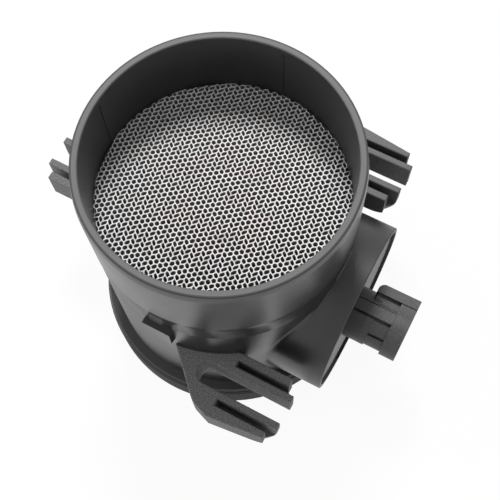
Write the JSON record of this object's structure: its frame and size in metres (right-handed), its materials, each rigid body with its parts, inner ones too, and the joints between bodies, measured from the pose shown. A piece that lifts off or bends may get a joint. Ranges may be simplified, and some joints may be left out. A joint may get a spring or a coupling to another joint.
{
  "type": "mass airflow sensor",
  "caption": "Round plastic flow tube with a recessed metal honeycomb at the inlet, an outlet flange, a side cup with a plug connector and forked mounting brackets.",
  "frame": {"origin": "centre of the outlet face", "axes": "+Z along the tube towards the inlet mouth, +X out through the side cup and connector, +Y to the back bracket"},
  "size_m": [0.1552, 0.1308, 0.117],
  "materials": {
    "black_plastic": "moulded, satin",
    "straightener_metal": "bright foil",
    "seal_rubber": "matte",
    "adhesive": "satin",
    "blade_metal": "plated",
    "plate_metal": "rolled",
    "screw_steel": "zinc plated",
    "board_ceramic": "fired",
    "chip_plastic": "matte",
    "capacitor_ceramic": "matte",
    "element_ceramic": "glazed",
    "bead_glass": "glazed"
  },
  "bodies": {
    "root": {"housing": "black_plastic", "flow_honeycomb": "straightener_metal", "flange_seal": "seal_rubber", "module_cover": "black_plastic", "sealing_bead": "adhesive", "connector_blades": "blade_metal", "base_gasket": "seal_rubber", "base_plate": "plate_metal", "base_screws": "screw_steel", "circuit_board": "board_ceramic", "board_chips": "chip_plastic", "board_capacitors": "capacitor_ceramic", "probe_body": "black_plastic", "probe_seal": "seal_rubber", "hot_film_element": "element_ceramic", "air_temperature_element": "bead_glass", "element_leads": "blade_metal"}
  },
  "joints": []
}
